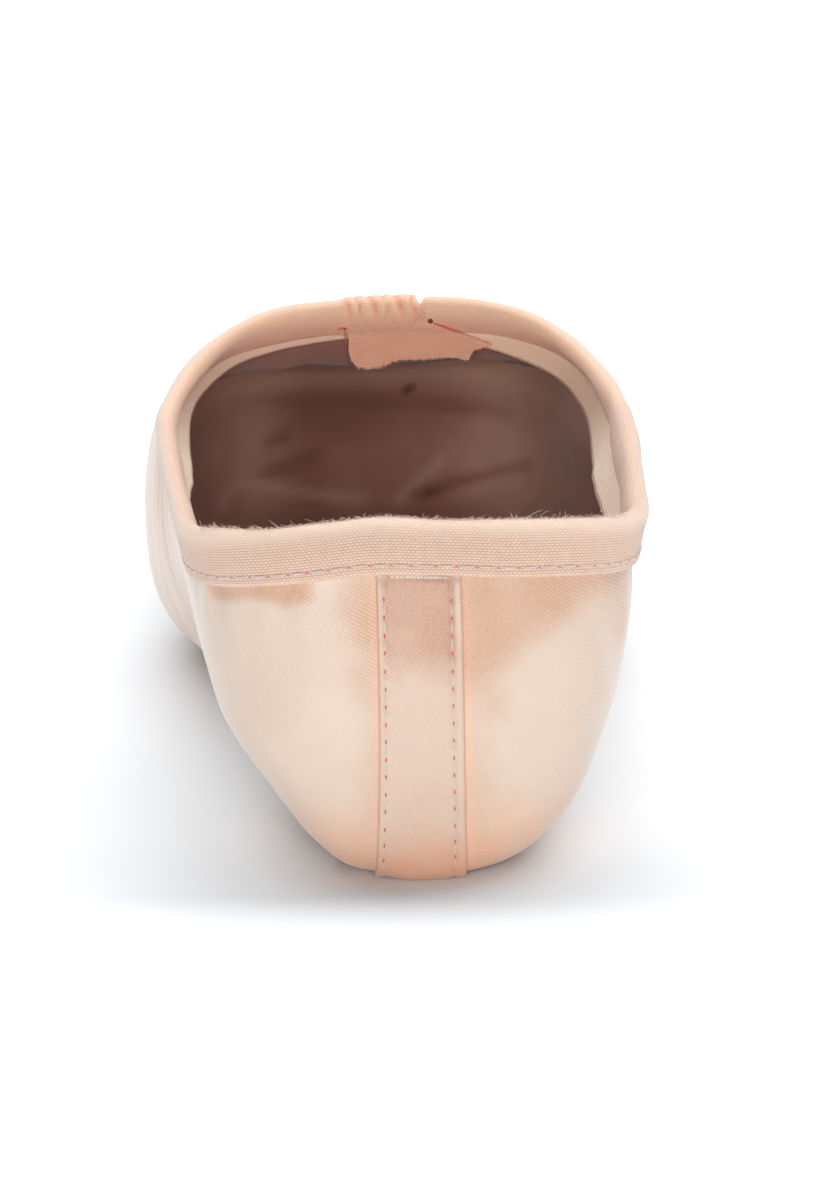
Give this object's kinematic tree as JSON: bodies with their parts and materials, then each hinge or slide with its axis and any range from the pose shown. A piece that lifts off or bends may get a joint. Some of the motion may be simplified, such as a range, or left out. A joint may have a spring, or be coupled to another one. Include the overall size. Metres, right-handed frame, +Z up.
{
  "type": "pointe shoe",
  "caption": "Soft satin ballet shoe with a stiff toe box, bound collar, back-seam strip and thin leather sole, worn on either foot to dance on the toes.",
  "frame": {"origin": "on the floor under the middle of the shoe's length and width", "axes": "+Y from heel to toe, +X to the right as seen from behind, +Z up"},
  "size_m": [0.0804, 0.233, 0.0639],
  "materials": {
    "upper_satin": "satin weave",
    "sole_leather": "suede",
    "lining_cloth": "matte",
    "binding_cotton": "woven",
    "strip_satin": "satin weave",
    "tab_cotton": "woven"
  },
  "bodies": {
    "root": {"upper": "upper_satin", "outsole": "sole_leather", "insole": "lining_cloth", "collar_binding": "binding_cotton", "heel_strip": "strip_satin", "throat_tab": "tab_cotton"}
  },
  "joints": []
}
